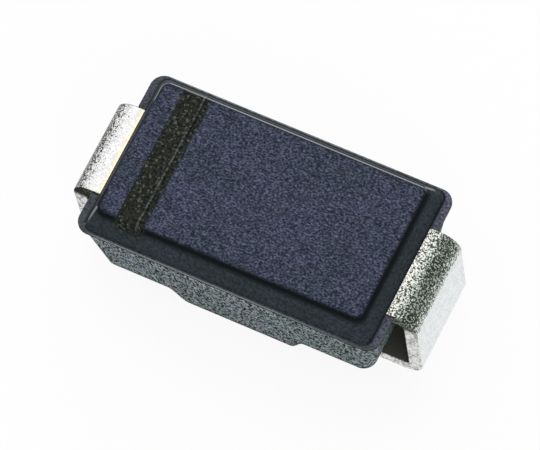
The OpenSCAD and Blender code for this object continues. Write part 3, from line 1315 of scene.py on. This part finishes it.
@dataclass
class FoldedLead:
    """One lead: a strip with softened edges carried along its folded path, from inside the case
    over the shoulder and the heel to the toe of the solder foot.

    Lengths are in metres and angles in degrees. The sizes that the frame shows come from it, and the
    other large ones repeat the CAD sizes.
    """

    end: End
    reach: float
    parting: float
    half_width: float
    inner_reach: float

    # outside the case
    thickness: float = 0.2 * MM
    shoulder: float = 0.11 * MM
    heel: float = 0.07 * MM
    lean: float = 0.5
    foot_length: float = 0.95 * MM

    # inside the case
    tongue_half_width: float = 0.52 * MM
    stack: float = 0.34 * MM
    step_turn: float = 45.0
    step_bend: float = 0.12 * MM

    # section, and the quarter circle that draws it in at both ends
    edge_round: float = 0.02 * MM
    end_rows: int = 6
    end_radius_loss: float = 0.98
    corner_steps: int = 5
    side_steps: int = 6
    pitch: float = 0.03 * MM
    bend_step: float = 4.0

    # tilt where the strain and painted shade of the shoulder end, and depth of the side painted in shade
    strain_and_shade_end: Span = (60.0, 86.0)
    inner_shade_depth: float = 0.001 * MM

    def _outer_folds(self, run: float) -> list[Fold]:
        """The shoulder, leg and foot that both leads share, after a run out of the case."""
        middle = self.thickness / 2
        shoulder, heel = self.shoulder + self.thickness, self.heel + self.thickness
        lean = math.radians(self.lean)
        drop = self.parting - shoulder - heel
        leg = (drop - (shoulder - heel) * math.sin(lean)) / math.cos(lean)
        return [
            Fold(run, -90.0 - self.lean, self.shoulder + middle),
            Fold(leg, -90.0 + self.lean, self.heel + middle),
            Fold(self.foot_length),
        ]

    def _folds(self) -> tuple[float, list[Fold]]:
        """Height at which the strip starts inside the case, and the steps that it is folded in.

        The anode strip is straight inside the case. The cathode strip starts as the paddle under the
        chip and rises to the parting plane in two opposite bends.

        Returns:
            The height of the middle of the strip at its inner end, and the steps.
        """
        strip_middle = self.parting - self.thickness / 2
        bend_start = self.reach - self.shoulder - self.thickness
        if self.end is End.ANODE:
            return strip_middle, self._outer_folds(bend_start + self.inner_reach)
        drop = self.stack + self.thickness
        turn = math.radians(self.step_turn)
        bends = 2 * self.step_bend + self.thickness
        slant = (drop - bends * (1 - math.cos(turn))) / math.sin(turn)
        step_length = bends * math.sin(turn) + slant * math.cos(turn)
        radius = self.step_bend + self.thickness / 2
        steps = [
            Fold(2 * self.inner_reach, self.step_turn, radius),
            Fold(slant, -self.step_turn, radius),
        ]
        run = bend_start - self.inner_reach - step_length
        return strip_middle - drop, steps + self._outer_folds(run)

    def _path(self) -> tuple[Array, Array]:
        """The middle line of the strip, for a lead that points to +X.

        Each run is cut into equal parts and each bend into equal turns. A part of a bend is a chord
        of 2 r sin(turn / 2), laid half a turn past the heading before it, so that every point lies
        on the true arc.

        Returns:
            The points as x and z, and the heading at each point.
        """
        height, folds = self._folds()
        chords, turns = [], []
        for fold in folds:
            parts = max(1, math.ceil(fold.run / self.pitch))
            chords.append(np.full(parts, fold.run / parts))
            turns.append(np.zeros(parts))
            parts = math.ceil(abs(fold.turn) / self.bend_step)
            if parts:
                turn = math.radians(fold.turn) / parts
                chords.append(np.full(parts, 2 * fold.radius * math.sin(abs(turn) / 2)))
                turns.append(np.full(parts, turn))
        chord, turn = np.concatenate(chords), np.concatenate(turns)
        heading = np.concatenate([[0.0], np.cumsum(turn)])
        way = heading[:-1] + turn / 2
        steps = chord[:, None] * np.stack([np.cos(way), np.sin(way)], axis=-1)
        start = np.array([[-self.inner_reach, height]])
        return start + np.concatenate([[[0.0, 0.0]], np.cumsum(steps, axis=0)]), heading

    def _carry(self, middle: Array, heading: Array, y: Array, rise: Array) -> Array:
        """Carries points of the section to their place: P = middle + rise * normal, turned to its end.

        Args:
            middle: x and z of the middle line, one row for each section.
            heading: heading of the middle line, one for each section.
            y: place of the points across the strip, sections by points.
            rise: place of the points through the strip, sections by points.

        Returns:
            Grid of points.
        """
        side = self.end.value
        x = middle[:, :1] - rise * np.sin(heading)[:, None]
        z = middle[:, 1:] + rise * np.cos(heading)[:, None]
        return np.stack([side * x, side * y, z], axis=-1)

    def build(self, grain: bpy.types.NodeTree) -> bpy.types.Object:
        """Builds the lead as one closed mesh.

        The section, a rounded rectangle, is carried along the middle line at right angles to it. At
        both ends it draws in over a quarter circle to a flat cap.

        Args:
            grain: the shared grain effect.

        Returns:
            The piece.
        """
        line, heading = self._path()
        across = spaced(-1.0, 1.0, self.pitch / self.half_width)[1:-1]
        through = np.linspace(-1.0, 1.0, self.side_steps + 1)[1:-1]
        section = RingLayout(across, through, self.corner_steps)
        turn = np.linspace(QUARTER, 0.0, self.end_rows)
        back = self.edge_round * (1 - np.sin(turn))
        draw = self.edge_round * (1 - np.cos(turn))
        last, plain = len(line) - 1, np.zeros(len(line) - 2)
        first_rows, last_rows = np.zeros(self.end_rows, int), np.full(self.end_rows, last)
        at = np.concatenate([first_rows, np.arange(1, last), last_rows])
        shift = np.concatenate([back, plain, -back[::-1]])[:, None]
        inset = np.concatenate([draw, plain, draw[::-1]])[:, None]
        heading = heading[at]
        middle = line[at] + shift * np.stack([np.cos(heading), np.sin(heading)], axis=-1)

        half_width = np.full((len(at), 1), self.half_width)
        if self.end is End.ANODE:
            inside = (middle[:, 0] < self.inner_reach) & (middle[:, 1] > self.parting - self.thickness)
            half_width[inside] = self.tongue_half_width
        half_thickness = self.thickness / 2
        radius = self.edge_round - self.end_radius_loss * inset
        y, rise = section.ring(half_width - inset, half_thickness - inset, radius)
        wall = self._carry(middle, heading, y, rise)

        finish = TIN[self.end]
        # Strain with a painted dark reflection, from the flat over the shoulder bend.
        strain_and_shade = smoothstep(*finish.strain_and_shade_start, middle[:, :1])
        strain_and_shade = strain_and_shade * (1 - smoothstep(*self.strain_and_shade_end, -np.degrees(heading)[:, None]))
        # Painted shade on the side that faces the case.
        inner = rise < self.inner_shade_depth - half_thickness
        values = {STRAIN_AND_SHADE: strain_and_shade + 0.0 * rise, INNER: inner.astype(float)}
        zones = np.zeros((len(wall) - 1, section.count), int)
        patches = [Patch(wall, True, zones, False, values)]
        for row, flip in ((0, False), (-1, True)):
            cap_section = section.cap(y[row], rise[row])
            cap = self._carry(middle[row][None], heading[row][None], *cap_section)
            patches.append(cap_patch(cap, 0, flip, values))
        name = f"{self.end.name.lower()}_lead"
        piece = add_piece(f"{name}_strip", patches, [finish.material(grain)])
        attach(piece, BODY)
        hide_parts(name)
        return piece


# Sealed pieces


@dataclass(frozen=True)
class SealedStack:
    """The chip and its solder layers, which keep their CAD meshes."""

    chip: str = "zener_chip"
    layers: tuple[str, str] = ("chip_solder", "contact_solder")
    silicon: SealedFinish = SealedFinish(
        name="lapped_silicon",
        dark=(0.05, 0.055, 0.07),
        light=(0.12, 0.13, 0.16),
        grain=30000.0,
        depth=0.001 * MM,
        rough=(0.4, 0.3),
        metallic=0.0,
    )
    solder: SealedFinish = SealedFinish(
        name="grey_solder",
        dark=(0.3, 0.31, 0.32),
        light=(0.62, 0.63, 0.63),
        grain=22000.0,
        depth=0.003 * MM,
        rough=(0.5, 0.36),
        metallic=1.0,
    )

    def dress(self, grain: bpy.types.NodeTree) -> list[str]:
        """Gives the sealed nodes their finishes.

        Args:
            grain: the shared grain effect.

        Returns:
            The names of the nodes.
        """
        finishes = {self.chip: self.silicon.material(grain)}
        finishes.update(dict.fromkeys(self.layers, self.solder.material(grain)))
        for name, finish in finishes.items():
            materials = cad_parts[name].data.materials
            materials.clear()
            materials.append(finish)
        return list(finishes)


# The studio


@dataclass(frozen=True)
class Lamp:
    """A round soft lamp that points at the part.

    Attributes:
        name: name of the lamp.
        way: direction from the part to the lamp.
        distance: distance from the part, in metres.
        size: diameter, in metres.
        power: power, in watts.
        mirrored: whether glossy surfaces show it.
    """

    name: str
    way: Triple
    distance: float
    size: float
    power: float
    mirrored: bool

    def build(self) -> None:
        """Adds the lamp to the scene."""
        data = bpy.data.lights.new(self.name, "AREA")
        data.shape = "DISK"
        data.size = self.size
        data.energy = self.power
        made = add_object(self.name, data)
        back = Vector(self.way).normalized()
        made.location = back * self.distance
        made.rotation_mode = "QUATERNION"
        made.rotation_quaternion = (-back).to_track_quat("-Z", "Y")
        made.visible_glossy = self.mirrored


@dataclass(frozen=True)
class Studio:
    """Camera, floor and light: a white floor, a large soft lamp overhead towards the rear and the
    cathode end, a soft fill at the front, and two small lamps low down at the rear and at that end.

    Angles are in degrees and lengths in metres, but for the lens and its sensor in millimetres.
    Azimuth 0 looks along +Y and 90 along -X.
    """

    azimuth: float = 37.94
    elevation: float = 65.54
    roll: float = -12.74
    distance: float = 77.93 * MM
    lens: float = 390.9
    sensor: float = 36.0
    clip: Span = (7.793 * MM, 10.0)
    aim: Triple = (0.0229 * MM, 0.0203 * MM, 1.2009 * MM)
    floor_half: float = 0.6
    floor_gap: float = 0.002 * MM
    floor_glow: float = 0.9
    floor_colour: Colour = (0.92, 0.92, 0.92)
    white: Colour = (1.0, 1.0, 1.0)
    sky_plain: float = 0.55
    sky_mirrored: float = 0.45
    lamps: tuple[Lamp, ...] = (
        Lamp("key_lamp", (-0.3, 0.4, 0.87), 0.25, 0.35, 0.32, True),
        Lamp("fill_lamp", (0.64, -0.5, 0.58), 0.3, 0.3, 0.25, False),
        Lamp("rear_lamp", (-0.25, 0.92, 0.3), 0.3, 0.16, 0.1, True),
        Lamp("left_lamp", (-0.91, 0.33, 0.27), 0.3, 0.18, 0.085, True),
    )

    def camera(self) -> None:
        """Places the camera at the photograph's viewing angle, turned about its own axis by the roll."""
        turn, tilt, roll = (math.radians(v) for v in (self.azimuth, self.elevation, self.roll))
        level = math.cos(tilt)
        back = Vector((math.sin(turn) * level, -math.cos(turn) * level, math.sin(tilt)))
        flat = Vector((0.0, 0.0, 1.0)).cross(back).normalized()
        right = math.cos(roll) * flat + math.sin(roll) * back.cross(flat)
        data = bpy.data.cameras.new("camera")
        data.lens = self.lens
        data.sensor_width = self.sensor
        data.clip_start, data.clip_end = self.clip
        made = add_object("camera", data)
        axes = Matrix((right, back.cross(right), back)).transposed().to_4x4()
        made.matrix_world = Matrix.Translation(Vector(self.aim) + back * self.distance) @ axes
        bpy.context.scene.camera = made

    def floor(self) -> None:
        """Lays the white floor, which glows for the camera and for mirrors and keeps the shadow.

        It lets rays through from below, so that the underside can be looked at.
        """
        half = self.floor_half
        mesh = bpy.data.meshes.new("floor")
        corners = [(-half, -half), (half, -half), (half, half), (-half, half)]
        mesh.from_pydata([(x, y, -self.floor_gap) for x, y in corners], [], [(0, 1, 2, 3)])
        finish = bpy.data.materials.new("white_floor")
        graph = Graph(empty_tree(finish))
        light = graph.node("ShaderNodeLightPath", {}).outputs
        seen = graph.times(light["Is Camera Ray"], self.floor_glow)
        share = graph.math("MAXIMUM", seen, light["Is Glossy Ray"])
        matte = graph.node("ShaderNodeBsdfDiffuse", {"Color": rgba(self.floor_colour)}).outputs[0]
        bright = {"Color": rgba(self.white), "Strength": 1.0}
        glow = graph.node("ShaderNodeEmission", bright).outputs[0]
        shown = graph.node("ShaderNodeMixShader", {0: share, 1: matte, 2: glow}).outputs[0]
        clear = graph.node("ShaderNodeBsdfTransparent", {}).outputs[0]
        below = graph.node("ShaderNodeNewGeometry", {}).outputs["Backfacing"]
        shown = graph.node("ShaderNodeMixShader", {0: below, 1: shown, 2: clear}).outputs[0]
        graph.node("ShaderNodeOutputMaterial", {"Surface": shown})
        mesh.materials.append(finish)
        floor = add_object("floor", mesh)

    def sky(self) -> None:
        """Sets the surroundings: white for the camera, dim for mirrors and plain for the rest."""
        world = bpy.data.worlds.new("studio")
        graph = Graph(empty_tree(world))
        light = graph.node("ShaderNodeLightPath", {}).outputs
        mirrored = graph.times(light["Is Glossy Ray"], self.sky_mirrored - self.sky_plain)
        seen = graph.times(light["Is Camera Ray"], 1.0 - self.sky_plain)
        strength = graph.add(graph.add(mirrored, seen), self.sky_plain)
        inputs = {"Color": rgba(self.white), "Strength": strength}
        back = graph.node("ShaderNodeBackground", inputs)
        graph.node("ShaderNodeOutputWorld", {"Surface": back.outputs[0]})
        bpy.context.scene.world = world

    def build(self) -> None:
        """Sets up camera, floor, lamps and surroundings."""
        self.camera()
        self.floor()
        self.sky()
        for lamp in self.lamps:
            lamp.build()
        bpy.context.scene.view_settings.view_transform = "Standard"


def main() -> None:
    """Builds the part, piece by piece, and the studio round it."""
    logging.basicConfig(level=logging.INFO, format="%(message)s")
    Studio().build()
    grain = FineGrain().build()
    case_low, case_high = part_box("case")
    lead_low, lead_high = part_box("anode_lead")
    case = CaseShell(
        half_length=case_high.x,
        half_width=case_high.y,
        underside=case_low.z,
        top=case_high.z,
        parting=lead_high.z,
        lead_half_width=lead_high.y,
    )
    leads = [FoldedLead(end, lead_high.x, lead_high.z, lead_high.y, -lead_low.x) for end in End]
    for assembly in (case, *leads):
        piece = assembly.build(grain)
        LOG.info("%s: %d faces", piece.name, len(piece.data.polygons))
    for name in SealedStack().dress(grain):
        LOG.info("%s: CAD mesh, sealed in the case", name)


if __name__ == "__main__":
    main()
